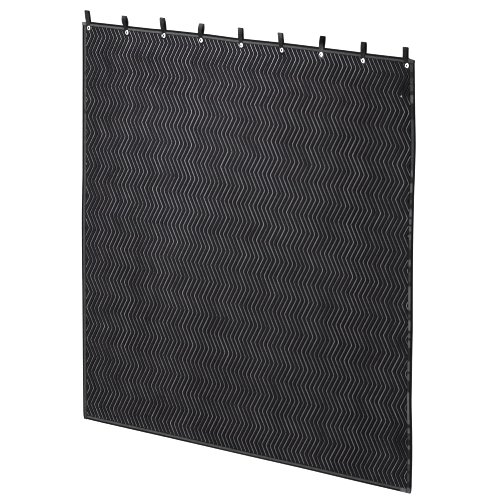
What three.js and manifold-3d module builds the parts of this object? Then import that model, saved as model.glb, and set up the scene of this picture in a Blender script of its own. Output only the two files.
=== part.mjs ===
// A quilted sound dampening blanket, hung by webbing loops that eyelets clamp to its top edge.
// Millimetres, +Z up. The origin is the middle of the cloth's top edge. X runs along that edge
// and the front of the blanket faces -Y.
import * as THREE from 'three';
import { mergeVertices } from 'three/addons/utils/BufferGeometryUtils.js';
import Module from 'manifold-3d';

const wasm = await Module();
wasm.setup();

// The cloth
const WIDTH = 2438;
const HEIGHT = 2032;
const GAP = 0.3;
const HALF_WIDTH = WIDTH / 2;
const PRESSED_HALF = 3.0; // half the thickness under the edge tape
const STITCHED_HALF = 3.3; // half the thickness at a line of quilting
const PUFFED_HALF = 5.2; // half the thickness midway between two lines
const HEADING_PUFFED_HALF = 4.4; // the same where the straps lie on the heading
const HEADING_DROP = 58; // depth of the strip that holds the eyelets

// The quilting: zigzag lines from top to bottom, all in step
const LINE_PITCH = 30.2;
const ZIGZAG_HALF = 27; // how far a line swings to each side
const FIRST_TURN = 65; // depth of the first row of turns
const TURN_STEP = 82.2;
const TURN_ROWS = 24;
const HALF_PITCH = LINE_PITCH / 2; // from a line to the crown beside it
const BACK_EVERY = 7; // the back's points stand this many half pitches apart
const PUFF_UNEVEN = 0.35; // how far a crown's height strays
const UNEVEN_ACROSS = 1.7; // radians of straying from column to column
const UNEVEN_DOWN = 2.3; // and from millimetre to millimetre down it

// The edge tape: a U-section folded over the cloth's edge
const TAPE_THICK = 1.1;
const TAPE_BIGHT = 1.6; // thickness round the fold
const TAPE_BEVEL = 2.4;
const TAPE_HALF = PRESSED_HALF + GAP + TAPE_THICK;
const CLOTH_INSET = TAPE_BIGHT + 2 * GAP; // doubled, so that it holds where a corner squeezes the tape
const UNDERLAP = 4; // the pressed margin runs on this far inside the open quilted field
const OVERCUT = 8; // the quilting is made this much too long at each end, then cut to the field
const SECTIONS_APART = 0.5; // places along an edge that are closer than this are one

// The straps and eyelets
const STRAP_WIDE = 30;
const STRAP_THICK = 1.5;
const STRAP_HALF = HEADING_PUFFED_HALF + GAP + STRAP_THICK / 2;
const LEG_STEPS = 2;
const FOLD_STEPS = 5;
const EYELET_BORE = 5;
const EYELET_BARREL = 5.9;
const EYELET_FLAT = 9;
const EYELET_RIM = 12;
const EYELET_THICK = 4;
const EYELET_SEAT = STRAP_HALF + STRAP_THICK / 2 + GAP;
const HOLE_RADIUS = 6.25;
const ROUND_STEPS = 10;
const CUTTER_REACH = 100; // cutting solids run past the cloth's faces by at least this

// Each loop: its eyelet, where the strap crosses the top edge, where its fold stands,
// how high it rises, how far its two legs bow apart, and how deep its ends reach
const LOOPS = [
  { eyeletX: -1161, drop: 35, edgeX: -1173, foldX: -1184, rise: 52, bow: 0.6, tail: 53 },
  { eyeletX: -860, drop: 35, edgeX: -879, foldX: -890, rise: 46, bow: 4.0, tail: 55 },
  { eyeletX: -574, drop: 29, edgeX: -584, foldX: -596, rise: 58, bow: 2.0, tail: 47 },
  { eyeletX: -293, drop: 30, edgeX: -304, foldX: -297, rise: 51, bow: 3.0, tail: 49 },
  { eyeletX: 5, drop: 31, edgeX: -6, foldX: -9, rise: 52, bow: 0.2, tail: 52 },
  { eyeletX: 298, drop: 32, edgeX: 287, foldX: 279, rise: 50, bow: -0.6, tail: 55 },
  { eyeletX: 578, drop: 30, edgeX: 573, foldX: 580, rise: 57, bow: 1.2, tail: 49 },
  { eyeletX: 868, drop: 37, edgeX: 863, foldX: 864, rise: 51, bow: 1.2, tail: 53 },
  { eyeletX: 1166, drop: 35, edgeX: 1148, foldX: 1148, rise: 49, bow: -0.6, tail: 55 },
];

// Where the hung cloth stands forward of a flat plane, or back from it where forward is negative
const BELLIES = [
  { x: 0, z: -1050, reachX: 6000, reachZ: 900, forward: 8 },
  { x: 1219, z: -420, reachX: 500, reachZ: 270, forward: -4 },
  { x: 1219, z: -1790, reachX: 500, reachZ: 190, forward: -4 },
  { x: -500, z: -620, reachX: 420, reachZ: 360, forward: -3 },
];

// How far the quilting strays, at five places across the cloth: its rows of turns upwards from
// level, and its lines to the right of plumb
const STRAY_AT = [-1100, -480, 160, 640, 1100];
const STRAYS = [
  { depth: 65, up: [-7, 2, -1, -6, -22], right: [2, 2, 6, 6, 0] },
  { depth: 558, up: [-2, 10, 4, -3, -22], right: [8, 3, 7, 12, 10] },
  { depth: 1051, up: [7, 14, 8, -2, -16], right: [-1, -3, 2, 6, 2] },
  { depth: 1545, up: [12, 10, -1, -1, -6], right: [-3, -9, -11, -5, -7] },
  { depth: 1956, up: [11, 2, -1, 1, -1], right: [-6, -12, -19, -12, -9] },
];

// The four edges: how deep the tape's face is, and by place along the edge how far its line stands
// out from straight and how much less a rounded corner lets the tape's outer side stand out
const TOP_EDGE = {
  face: 22,
  rows: [
    { at: -1219, out: -3.5, round: 5 },
    { at: -1145, out: -3.5, round: 0 },
    { at: -680, out: -2, round: 0 },
    { at: -520, out: 1.4, round: 0 },
    { at: -240, out: 2.8, round: 0 },
    { at: -60, out: 0.2, round: 0 },
    { at: 350, out: 3.4, round: 0 },
    { at: 800, out: 1.2, round: 0 },
    { at: 920, out: -0.6, round: 0 },
    { at: 1168, out: -0.6, round: 0 },
    { at: 1180, out: -0.6, round: 3 },
    { at: 1207, out: -0.6, round: 7 },
  ],
};
const BOTTOM_EDGE = {
  face: 22,
  rows: [
    { at: -1195, out: -1, round: 0 },
    { at: -1080, out: 0, round: 0 },
    { at: -530, out: -1.2, round: 0 },
    { at: 20, out: -1.3, round: 0 },
    { at: 460, out: -2.2, round: 0 },
    { at: 900, out: 0.3, round: 0 },
    { at: 1195, out: 0.3, round: 0 },
  ],
};
const LEFT_EDGE = {
  face: 32,
  rows: [
    { at: -2032, out: -7, round: 10 },
    { at: -2028, out: -7, round: 5 },
    { at: -2015, out: -7, round: 1.5 },
    { at: -1995, out: -7, round: 0 },
    { at: -1700, out: -4, round: 0 },
    { at: -1360, out: -6, round: 0 },
    { at: -1000, out: -4, round: 0 },
    { at: -780, out: -8, round: 0 },
    { at: -370, out: -3, round: 0 },
    { at: -120, out: -2, round: 0 },
  ],
};
const RIGHT_EDGE = {
  face: 27,
  rows: [
    { at: -2032, out: 0.5, round: 8 },
    { at: -2027, out: 0.5, round: 4.5 },
    { at: -2018, out: 0.5, round: 2 },
    { at: -2000, out: 0.5, round: 0 },
    { at: -1900, out: 0.5, round: 0 },
    { at: -1790, out: -2.5, round: 0 },
    { at: -1580, out: -4, round: 0 },
    { at: -1250, out: 2.4, round: 0 },
    { at: -920, out: -1.4, round: 0 },
    { at: -400, out: -1.5, round: 0 },
    { at: -150, out: -8, round: 0 },
    { at: -24, out: -12, round: 0 },
  ],
};

// Straight lines between the rows of a table
function between(places, values, at) {
  if (at <= places[0]) return values[0];
  for (let i = 1; i < places.length; i += 1) {
    if (at <= places[i]) {
      const share = (at - places[i - 1]) / (places[i] - places[i - 1]);
      return values[i - 1] + share * (values[i] - values[i - 1]);
    }
  }
  return values[values.length - 1];
}

function edgeOut(edge, at, column = 'out') {
  return between(edge.rows.map((row) => row.at), edge.rows.map((row) => row[column]), at);
}

function swell(distance, reach) {
  return 0.5 + 0.5 * Math.cos(Math.PI * Math.min(1, Math.abs(distance) / reach));
}

// The hung cloth's middle surface: y at a place on it
function hang(x, z) {
  let forward = 0;
  for (const belly of BELLIES) {
    forward += belly.forward * swell(x - belly.x, belly.reachX) * swell(z - belly.z, belly.reachZ);
  }
  return -forward;
}

// How far the quilting strays at a place across the cloth and a depth down it
function stray(column, x, depth) {
  const depths = STRAYS.map((line) => line.depth);
  const strays = STRAYS.map((line) => between(STRAY_AT, line[column], x));
  return between(depths, strays, depth);
}

// Height of a row of turns at a place across the cloth
function turnHeight(row, x) {
  const depth = FIRST_TURN + row * TURN_STEP;
  return -depth + stray('up', x, depth);
}

// How far a quilting line has swung and strayed sideways at a height between two rows of turns
function swing(row, x, z) {
  const from = turnHeight(row, x);
  const share = (from - z) / (from - turnHeight(row + 1, x));
  const start = row % 2 === 0 ? ZIGZAG_HALF : -ZIGZAG_HALF;
  return start * (1 - 2 * share) + stray('right', x, -z);
}

// Solids and meshes
function solidOf(geometry) {
  const bare = geometry.clone();
  bare.deleteAttribute('normal');
  bare.deleteAttribute('uv');
  const merged = mergeVertices(bare, 1e-4);
  const vertProperties = new Float32Array(merged.attributes.position.array);
  const triVerts = new Uint32Array(merged.index.array);
  return new wasm.Manifold(new wasm.Mesh({ numProp: 3, vertProperties, triVerts }));
}

function geometryOf(solid) {
  const mesh = solid.getMesh();
  const geometry = new THREE.BufferGeometry();
  geometry.setAttribute('position', new THREE.BufferAttribute(mesh.vertProperties, 3));
  geometry.setIndex(new THREE.BufferAttribute(mesh.triVerts, 1));
  geometry.computeVertexNormals();
  return geometry;
}

// A closed mesh from points and triangles, turned so that its faces point outwards
function closedMesh(points, triangles) {
  const [a, b, c] = [new THREE.Vector3(), new THREE.Vector3(), new THREE.Vector3()];
  let volume = 0;
  for (const [i, j, k] of triangles) {
    a.fromArray(points[i]);
    b.fromArray(points[j]);
    c.fromArray(points[k]);
    volume += a.dot(b.cross(c)) / 6;
  }
  const outward = volume > 0 ? triangles : triangles.map(([i, j, k]) => [i, k, j]);
  const geometry = new THREE.BufferGeometry();
  geometry.setAttribute('position', new THREE.Float32BufferAttribute(points.flat(), 3));
  geometry.setIndex(outward.flat());
  geometry.computeVertexNormals();
  return geometry;
}

// One section carried along a path: at(place, u, v) puts a section's point in space
function sweep(section, places, at) {
  const points = [];
  for (const place of places) {
    for (const [u, v] of section) points.push(at(place, u, v));
  }
  const size = section.length;
  const triangles = [];
  for (let i = 0; i + 1 < places.length; i += 1) {
    for (let j = 0; j < size; j += 1) {
      const here = i * size + j;
      const next = i * size + ((j + 1) % size);
      triangles.push([here, next, next + size], [here, next + size, here + size]);
    }
  }
  // The end caps: triangles that run round the section the same way as its points, and the other way
  const outline = section.map(([u, v]) => new THREE.Vector2(u, v));
  const turn = Math.sign(THREE.ShapeUtils.area(outline));
  const last = (places.length - 1) * size;
  for (const [i, j, k] of THREE.ShapeUtils.triangulateShape(outline, [])) {
    const same = Math.sign(THREE.ShapeUtils.area([outline[i], outline[j], outline[k]])) === turn;
    const [p, q, r] = same ? [i, j, k] : [i, k, j];
    triangles.push([p, r, q], [last + p, last + q, last + r]);
  }
  return closedMesh(points, triangles);
}

// The quilted field: rows of points, each along the turns or, where it has a level, straight across
// below those turns. Even columns lie on the lines and odd ones on the crowns between them.
function fieldPoint(row, column, side, puffed) {
  const middle = column * HALF_PITCH;
  const z = row.level ?? turnHeight(row.turn, middle);
  const x = middle + swing(row.turn, middle, z);
  const half = column % 2 === 0 ? STITCHED_HALF : puffed(column, z);
  return [x, hang(x, z) + side * half, z];
}

// Front and back grids of points, joined round their edges
function quiltedField(rows, puffed) {
  const reach = (HALF_WIDTH + ZIGZAG_HALF) / HALF_PITCH;
  const lastColumn = BACK_EVERY * Math.ceil(reach / BACK_EVERY);
  const points = [];
  const triangles = [];
  const quad = (a, b, c, d) => triangles.push([a, b, c], [a, c, d]);
  const grid = (every, side) => rows.map((row) => {
    const ids = [];
    for (let column = -lastColumn; column <= lastColumn; column += every) {
      ids.push(points.length);
      points.push(fieldPoint(row, column, side, puffed));
    }
    return ids;
  });
  const front = grid(1, -1);
  const back = grid(BACK_EVERY, 1);
  for (let i = 0; i + 1 < rows.length; i += 1) {
    const [upper, lower] = [front[i], front[i + 1]];
    for (let j = 0; j + 1 < upper.length; j += 1) quad(upper[j], lower[j], lower[j + 1], upper[j + 1]);
    const [over, under] = [back[i], back[i + 1]];
    for (let j = 0; j + 1 < over.length; j += 1) quad(over[j + 1], under[j + 1], under[j], over[j]);
    quad(upper[0], over[0], under[0], lower[0]);
    quad(lower.at(-1), under.at(-1), over.at(-1), upper.at(-1));
  }
  // The top and bottom walls: each step of the back faces several steps of the front
  const wall = (near, far, turned) => {
    for (let j = 0; j + 1 < far.length; j += 1) {
      const facing = near.slice(j * BACK_EVERY, (j + 1) * BACK_EVERY + 1);
      const ring = [...facing, far[j + 1]];
      for (let i = 0; i + 1 < ring.length; i += 1) {
        const [p, q] = turned ? [ring[i + 1], ring[i]] : [ring[i], ring[i + 1]];
        triangles.push([far[j], p, q]);
      }
    }
  };
  wall(front[0], back[0], false);
  wall(front.at(-1), back.at(-1), true);
  return closedMesh(points, triangles);
}

// Edges: a tape's or pressed margin's section is given by its depth in from the edge and its y
function fieldInset(edge) {
  return edge.face + GAP; // from the outer edge to the open quilted field
}

function pressedSection(edge) {
  const inner = fieldInset(edge) + UNDERLAP;
  return [
    [CLOTH_INSET, -PRESSED_HALF],
    [inner, -PRESSED_HALF],
    [inner, PRESSED_HALF],
    [CLOTH_INSET, PRESSED_HALF],
  ];
}

const innerHalf = PRESSED_HALF + GAP;
function tapeSection(edge) {
  return [
    [edge.face, -TAPE_HALF],
    [TAPE_BEVEL, -TAPE_HALF],
    [0, -TAPE_HALF + TAPE_BEVEL],
    [0, TAPE_HALF - TAPE_BEVEL],
    [TAPE_BEVEL, TAPE_HALF],
    [edge.face, TAPE_HALF],
    [edge.face, innerHalf],
    [TAPE_BIGHT, innerHalf],
    [TAPE_BIGHT, -innerHalf],
    [edge.face, -innerHalf],
  ];
}

function outwards(edge, at, inset) {
  const rounded = edgeOut(edge, at, 'round') * Math.max(0, 1 - inset / edge.face);
  return edgeOut(edge, at) - rounded - inset;
}
const alongTop = (x, inset, y) => [x, y, outwards(TOP_EDGE, x, inset)];
const alongBottom = (x, inset, y) => [x, y, -HEIGHT - outwards(BOTTOM_EDGE, x, inset)];
const alongLeft = (z, inset, y) => {
  const x = -HALF_WIDTH - outwards(LEFT_EDGE, z, inset);
  return [x, y + hang(-HALF_WIDTH, z), z];
};
const alongRight = (z, inset, y) => {
  const x = HALF_WIDTH + outwards(RIGHT_EDGE, z, inset);
  return [x, y + hang(HALF_WIDTH, z), z];
};

// The places along an edge where its sections stand: its table's rows, the ends and any others named
function placesAlong(edge, first, last, others = []) {
  const all = [first, last, ...edge.rows.map((row) => row.at), ...others];
  const inside = all.filter((at) => at >= first && at <= last).sort((a, b) => a - b);
  return inside.filter((at, i) => i === 0 || at - inside[i - 1] > SECTIONS_APART);
}

function turnsDown(x) {
  return Array.from({ length: TURN_ROWS }, (_, turn) => turnHeight(turn, x));
}

// Where the tapes meet: the top tape runs over the side tapes, and the bottom one lies between them
const topFrom = alongLeft(0, 0, 0)[0];
const topTo = alongRight(0, 0, 0)[0];
const leftTop = alongTop(-HALF_WIDTH, fieldInset(TOP_EDGE), 0)[2];
const rightTop = alongTop(HALF_WIDTH, fieldInset(TOP_EDGE), 0)[2];
const bottomFrom = alongLeft(-HEIGHT, fieldInset(LEFT_EDGE), 0)[0];
const bottomTo = alongRight(-HEIGHT, fieldInset(RIGHT_EDGE), 0)[0];
const leftBottom = alongBottom(bottomFrom, fieldInset(BOTTOM_EDGE), 0)[2];
const rightBottom = alongBottom(bottomTo, fieldInset(BOTTOM_EDGE), 0)[2];

// Holes for the eyelets' barrels, one cutter for each
function holeCutter(loop) {
  const cutter = new THREE.CylinderGeometry(HOLE_RADIUS, HOLE_RADIUS, 2 * CUTTER_REACH, ROUND_STEPS);
  return solidOf(cutter.translate(loop.eyeletX, 0, -loop.drop));
}

// The open field inside the tapes, as a solid that runs through the cloth from front to back
function fieldCutter() {
  const inside = (edge, along, from, to) => {
    return placesAlong(edge, from, to).map((at) => along(at, fieldInset(edge), 0));
  };
  const fieldFrom = alongLeft(leftTop, fieldInset(LEFT_EDGE), 0)[0];
  const fieldTo = alongRight(rightTop, fieldInset(RIGHT_EDGE), 0)[0];
  const outline = [
    ...inside(TOP_EDGE, alongTop, fieldFrom, fieldTo).slice(1, -1),
    ...inside(RIGHT_EDGE, alongRight, rightBottom, rightTop).reverse(),
    ...inside(BOTTOM_EDGE, alongBottom, bottomFrom, bottomTo).slice(1, -1).reverse(),
    ...inside(LEFT_EDGE, alongLeft, leftBottom, leftTop),
  ];
  const shape = new THREE.Shape(outline.map(([x, , z]) => new THREE.Vector2(x, z)));
  const cutter = new THREE.ExtrudeGeometry(shape, { depth: 2 * CUTTER_REACH, bevelEnabled: false });
  return solidOf(cutter.translate(0, 0, -CUTTER_REACH).rotateX(Math.PI / 2));
}

// The quilting from one height to another, cut to the open field
function openField(rows, puffed) {
  return solidOf(quiltedField(rows, puffed)).intersect(fieldCutter());
}

// The heading: the strip of quilted cloth along the top edge that holds the eyelets
function headingStrip() {
  const rows = [
    { turn: -1, level: -fieldInset(TOP_EDGE) + OVERCUT },
    { turn: -1, level: -HEADING_DROP },
  ];
  let strip = openField(rows, () => HEADING_PUFFED_HALF);
  const across = placesAlong(TOP_EDGE, topFrom + CLOTH_INSET, topTo - CLOTH_INSET);
  strip = strip.add(solidOf(sweep(pressedSection(TOP_EDGE), across, alongTop)));
  const sides = [[LEFT_EDGE, alongLeft, leftTop], [RIGHT_EDGE, alongRight, rightTop]];
  for (const [edge, along, top] of sides) {
    const down = placesAlong(edge, -HEADING_DROP, top);
    strip = strip.add(solidOf(sweep(pressedSection(edge), down, along)));
  }
  for (const loop of LOOPS) strip = strip.subtract(holeCutter(loop));
  return geometryOf(strip);
}

// The panel: all of the quilted cloth below the heading
function quiltedPanel() {
  const top = -HEADING_DROP - GAP;
  const fullAt = -FIRST_TURN - TURN_STEP; // the crowns reach their full height by the second turn
  const rows = [{ turn: -1, level: top }];
  for (let turn = 0; turn < TURN_ROWS; turn += 1) rows.push({ turn });
  rows.push({ turn: TURN_ROWS - 1, level: -HEIGHT + fieldInset(BOTTOM_EDGE) - OVERCUT });
  const puffed = (column, z) => {
    const grown = between([fullAt, top], [1, 0], z);
    const stray = PUFF_UNEVEN * Math.sin(UNEVEN_ACROSS * column) * Math.cos(UNEVEN_DOWN * z);
    return HEADING_PUFFED_HALF + grown * (PUFFED_HALF - HEADING_PUFFED_HALF + stray);
  };
  let panel = openField(rows, puffed);
  const sides = [[LEFT_EDGE, alongLeft, -HALF_WIDTH, bottomFrom], [RIGHT_EDGE, alongRight, HALF_WIDTH, bottomTo]];
  for (const [edge, along, x, corner] of sides) {
    const foot = alongBottom(corner, CLOTH_INSET, 0)[2];
    const down = placesAlong(edge, foot, top, turnsDown(x));
    panel = panel.add(solidOf(sweep(pressedSection(edge), down, along)));
  }
  const across = placesAlong(BOTTOM_EDGE, bottomFrom - UNDERLAP, bottomTo + UNDERLAP);
  panel = panel.add(solidOf(sweep(pressedSection(BOTTOM_EDGE), across, alongBottom)));
  return geometryOf(panel);
}

// The edge tape, in four lengths
function edgeTapes() {
  const leftDown = placesAlong(LEFT_EDGE, -HEIGHT, leftTop, turnsDown(-HALF_WIDTH));
  const rightDown = placesAlong(RIGHT_EDGE, -HEIGHT, rightTop, turnsDown(HALF_WIDTH));
  const topAcross = placesAlong(TOP_EDGE, topFrom, topTo);
  const bottomAcross = placesAlong(BOTTOM_EDGE, bottomFrom, bottomTo);
  return {
    edge_tape_top: sweep(tapeSection(TOP_EDGE), topAcross, alongTop),
    edge_tape_bottom: sweep(tapeSection(BOTTOM_EDGE), bottomAcross, alongBottom),
    edge_tape_left: sweep(tapeSection(LEFT_EDGE), leftDown, alongLeft),
    edge_tape_right: sweep(tapeSection(RIGHT_EDGE), rightDown, alongRight),
  };
}

// A strap's middle line across its thickness, from its front end over the fold to its back end
function strapLine(loop) {
  const foldMiddle = loop.rise - STRAP_THICK / 2 - STRAP_HALF;
  const leg = [[STRAP_HALF, -loop.tail], [STRAP_HALF, 0]];
  for (let i = 1; i < LEG_STEPS; i += 1) {
    const share = i / LEG_STEPS;
    leg.push([STRAP_HALF + loop.bow * Math.sin(Math.PI * share), share * foldMiddle]);
  }
  const fold = [];
  for (let i = 0; i <= FOLD_STEPS; i += 1) {
    const angle = (Math.PI * i) / FOLD_STEPS;
    fold.push([-STRAP_HALF * Math.cos(angle), foldMiddle + STRAP_HALF * Math.sin(angle)]);
  }
  const front = leg.map(([y, z]) => [-y, z]);
  return [...front, ...fold, ...leg.reverse()];
}

// How far along the blanket the strap's middle stands at a height
function strapX(loop, z) {
  return between([-loop.drop, 0, loop.rise], [loop.eyeletX, loop.edgeX, loop.foldX], z);
}

// The strap, its section square to its line, with holes for the eyelet's barrel in both legs
function strapLoop(loop) {
  const line = strapLine(loop).map(([y, z]) => new THREE.Vector2(y, z));
  const last = line.length - 1;
  const places = line.map((_, i) => i);
  const [wide, thick] = [STRAP_WIDE / 2, STRAP_THICK / 2];
  const section = [[-wide, -thick], [wide, -thick], [wide, thick], [-wide, thick]];
  const strap = sweep(section, places, (i, across, out) => {
    const onward = line[Math.min(last, i + 1)].clone().sub(line[Math.min(last - 1, i)]).normalize();
    const into = line[Math.max(1, i)].clone().sub(line[Math.max(0, i - 1)]).normalize();
    const along = into.clone().add(onward).normalize();
    const mitred = out / along.dot(onward);
    return [strapX(loop, line[i].y) + across, line[i].x - along.y * mitred, line[i].y + along.x * mitred];
  });
  return geometryOf(solidOf(strap).subtract(holeCutter(loop)));
}

// An eyelet: a barrel through strap, cloth and strap, with a flange on each face
function eyelet() {
  const out = EYELET_SEAT + EYELET_THICK;
  const half = [
    [EYELET_BORE, out],
    [EYELET_FLAT, out],
    [EYELET_RIM, EYELET_SEAT],
    [EYELET_BARREL, EYELET_SEAT],
  ];
  const mirrored = half.map(([r, y]) => [r, -y]).reverse();
  const ring = [...half, ...mirrored, half[0]].map(([r, y]) => new THREE.Vector2(r, y));
  return new THREE.LatheGeometry(ring.reverse(), ROUND_STEPS);
}

// The finishes
function finish(color, roughness, metalness) {
  return new THREE.MeshStandardMaterial({ color, roughness, metalness });
}
const quiltedCloth = finish(0x29292c, 0.95, 0);
const edgeTape = finish(0x1f1f21, 0.85, 0);
const webbing = finish(0x141415, 0.8, 0);
const plated = finish(0xdcdcda, 0.25, 1);

const blanket = new THREE.Group();
function place(name, geometry, material, position = [0, 0, 0]) {
  const mesh = new THREE.Mesh(geometry, material);
  mesh.name = name;
  mesh.position.set(...position);
  blanket.add(mesh);
}

place('quilted_panel', quiltedPanel(), quiltedCloth);
place('heading_strip', headingStrip(), quiltedCloth);
for (const [name, geometry] of Object.entries(edgeTapes())) place(name, geometry, edgeTape);
LOOPS.forEach((loop, i) => {
  place(`loop_${i + 1}`, strapLoop(loop), webbing);
  place(`eyelet_${i + 1}`, eyelet(), plated, [loop.eyeletX, 0, -loop.drop]);
});

export default blanket;
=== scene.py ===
# A black quilted sound dampening blanket that hangs by webbing loops, with eyelets along its top edge.
# Metres, +Z up. The origin is the middle of the cloth's top edge and the front faces -Y.
import math

import bpy
import numpy as np
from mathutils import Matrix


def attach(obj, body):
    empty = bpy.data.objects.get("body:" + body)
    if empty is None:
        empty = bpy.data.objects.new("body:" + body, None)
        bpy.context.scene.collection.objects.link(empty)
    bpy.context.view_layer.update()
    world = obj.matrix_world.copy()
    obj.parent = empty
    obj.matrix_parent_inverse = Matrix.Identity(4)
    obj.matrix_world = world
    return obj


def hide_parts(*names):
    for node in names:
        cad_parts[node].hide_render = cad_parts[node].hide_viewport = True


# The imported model
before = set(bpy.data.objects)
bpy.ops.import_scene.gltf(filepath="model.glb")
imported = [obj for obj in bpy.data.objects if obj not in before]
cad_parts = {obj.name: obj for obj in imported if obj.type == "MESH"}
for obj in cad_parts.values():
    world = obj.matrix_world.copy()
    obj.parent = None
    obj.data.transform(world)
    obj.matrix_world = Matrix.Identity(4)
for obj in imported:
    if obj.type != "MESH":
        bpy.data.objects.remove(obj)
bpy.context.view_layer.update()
scene = bpy.context.scene

# The camera
# The blanket is seen from its right and a little above, so that its right edge is the near one.
# It stands far off with a long lens, and is aimed at a point on the cloth's own plane.
VIEW_TURN = math.radians(48.9)
VIEW_RISE = math.radians(8.42)
VIEW_ROLL = math.radians(0.32)
VIEW_DISTANCE = 20.056
VIEW_LENS = 298.66
VIEW_SENSOR = 36
AIM_RIGHT = 0.0450
AIM_UP = -0.0094
AIM_DEPTH = 1.016
VIEW_REACH = 500


def add(name, data):
    made = bpy.data.objects.new(name, data)
    scene.collection.objects.link(made)
    return made


def place_camera():
    back = np.array([
        math.sin(VIEW_TURN) * math.cos(VIEW_RISE),
        -math.cos(VIEW_TURN) * math.cos(VIEW_RISE),
        math.sin(VIEW_RISE),
    ])
    right = np.array([math.cos(VIEW_TURN), math.sin(VIEW_TURN), 0])
    up = np.cross(back, right)
    aim = AIM_RIGHT * right + AIM_UP * up + np.array([0, 0, -AIM_DEPTH])
    rolled_right = right * math.cos(VIEW_ROLL) + up * math.sin(VIEW_ROLL)
    rolled_up = up * math.cos(VIEW_ROLL) - right * math.sin(VIEW_ROLL)
    data = bpy.data.cameras.new("camera")
    data.lens = VIEW_LENS
    data.sensor_width = VIEW_SENSOR
    data.clip_end = VIEW_REACH
    camera = add("camera", data)
    matrix = np.eye(4)
    matrix[:3, 0] = rolled_right
    matrix[:3, 1] = rolled_up
    matrix[:3, 2] = back
    matrix[:3, 3] = aim + back * VIEW_DISTANCE
    camera.matrix_world = matrix.T.tolist()
    scene.camera = camera


place_camera()

# The quilted cloth
# Two black cover cloths over a thin batting, sewn together in zigzag lines from top to bottom.
# It hangs almost flat: its middle bellies forward and its right edge curls back a little.
WIDTH = 2.438
HEIGHT = 2.032
HALF_WIDTH = WIDTH / 2
GAP = 0.0003  # between the pieces
PRESSED_HALF = 0.0030  # half the thickness under the tape
STITCHED_HALF = 0.0033  # half the thickness at a line of thread
FULL_CROWN = 0.0022  # how far the batting stands above the lines
HEADING_CROWN = 0.0011  # and how far where the straps lie on it
HEADING_DROP = 0.058  # the straps end at this depth
CLOTH_INSET = 0.0022  # the cloth stops this far inside the tape's fold
CROWN_ROUND = 0.016  # the crowns round down to the tape over this distance
FULLNESS = 0.6  # how early a crown rises from its line, as a power
PUFF_UNEVEN = 0.9
PUFF_SCALE = 14.0

LINE_PITCH = 0.0302  # across, from line to line
ZIGZAG_HALF = 0.027  # a line swings this far to each side
FIRST_TURN = 0.065
TURN_STEP = 0.0822  # down, from turn to turn
TURN_ROWS = 24
TIP_ROUND = 0.02  # share of a step over which a line turns
ACROSS_PITCH = [0, 0.1, 0.37, 0.63, 0.9]  # columns of the cloth's mesh, from line to line
DOWN_STEP = [0, 0.04, 0.5, 0.96]  # and its rows, from turn to turn

# Where the hanging cloth stands forward of a flat sheet, or behind it
BELLIES = [
    {"x": 0, "z": -1.050, "reach_x": 6.000, "reach_z": 0.900, "forward": 0.008},
    {"x": 1.219, "z": -0.420, "reach_x": 0.500, "reach_z": 0.270, "forward": -0.004},
    {"x": 1.219, "z": -1.790, "reach_x": 0.500, "reach_z": 0.190, "forward": -0.004},
    {"x": -0.500, "z": -0.620, "reach_x": 0.420, "reach_z": 0.360, "forward": -0.003},
]
# How far the quilting strays from an even grid, in millimetres, at five places across
STRAY_AT = [-1.100, -0.480, 0.160, 0.640, 1.100]
STRAYS = [
    {"depth": 0.065, "up": [-7, 2, -1, -6, -22], "right": [2, 2, 6, 6, 0]},
    {"depth": 0.558, "up": [-2, 10, 4, -3, -22], "right": [8, 3, 7, 12, 10]},
    {"depth": 1.051, "up": [7, 14, 8, -2, -16], "right": [-1, -3, 2, 6, 2]},
    {"depth": 1.545, "up": [12, 10, -1, -1, -6], "right": [-3, -9, -11, -5, -7]},
    {"depth": 1.956, "up": [11, 2, -1, 1, -1], "right": [-6, -12, -19, -12, -9]},
]
MILLIMETRE = 0.001

# The four edges: place along the edge, how far its line stands out from straight, and how much less
# a rounded corner lets the tape's outer side stand out, in millimetres
EDGES = {
    "top": {
        "face": 0.022,
        "at": [-1219, -1145, -680, -520, -240, -60, 350, 800, 920, 1168, 1180, 1207],
        "out": [-3.5, -3.5, -2, 1.4, 2.8, 0.2, 3.4, 1.2, -0.6, -0.6, -0.6, -0.6],
        "round": [5, 0, 0, 0, 0, 0, 0, 0, 0, 0, 3, 7],
    },
    "bottom": {
        "face": 0.022,
        "at": [-1195, -1080, -530, 20, 460, 900, 1195],
        "out": [-1, 0, -1.2, -1.3, -2.2, 0.3, 0.3],
        "round": [0, 0, 0, 0, 0, 0, 0],
    },
    "left": {
        "face": 0.032,
        "at": [-2032, -2028, -2015, -1995, -1700, -1360, -1000, -780, -370, -120],
        "out": [-7, -7, -7, -7, -4, -6, -4, -8, -3, -2],
        "round": [10, 5, 1.5, 0, 0, 0, 0, 0, 0, 0],
    },
    "right": {
        "face": 0.027,
        "at": [-2032, -2027, -2018, -2000, -1900, -1790, -1580, -1250, -920, -400, -150, -24],
        "out": [0.5, 0.5, 0.5, 0.5, 0.5, -2.5, -4, 2.4, -1.4, -1.5, -8, -12],
        "round": [8, 4.5, 2, 0, 0, 0, 0, 0, 0, 0, 0, 0],
    },
}

EYELET_X = [-1.161, -0.860, -0.574, -0.293, 0.005, 0.298, 0.578, 0.868, 1.166]
EYELET_DROP = [0.035, 0.035, 0.029, 0.030, 0.031, 0.032, 0.030, 0.037, 0.035]
HOLE_RADIUS = 0.00625
HOLE_STEPS = 32
CUT_REACH = 0.1

CLOTH_DARK = (0.0002, 0.0002, 0.0002)
CLOTH_PALE = (0.057, 0.055, 0.068)


def smooth(share):
    share = np.clip(share, 0, 1)
    return share * share * (3 - 2 * share)


def swell(distance, reach):
    return 0.5 + 0.5 * np.cos(np.pi * np.minimum(1, np.abs(distance) / reach))


def hang(x, z):
    forward = 0
    for belly in BELLIES:
        across = swell(x - belly["x"], belly["reach_x"])
        forward = forward + belly["forward"] * across * swell(z - belly["z"], belly["reach_z"])
    return -forward


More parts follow.
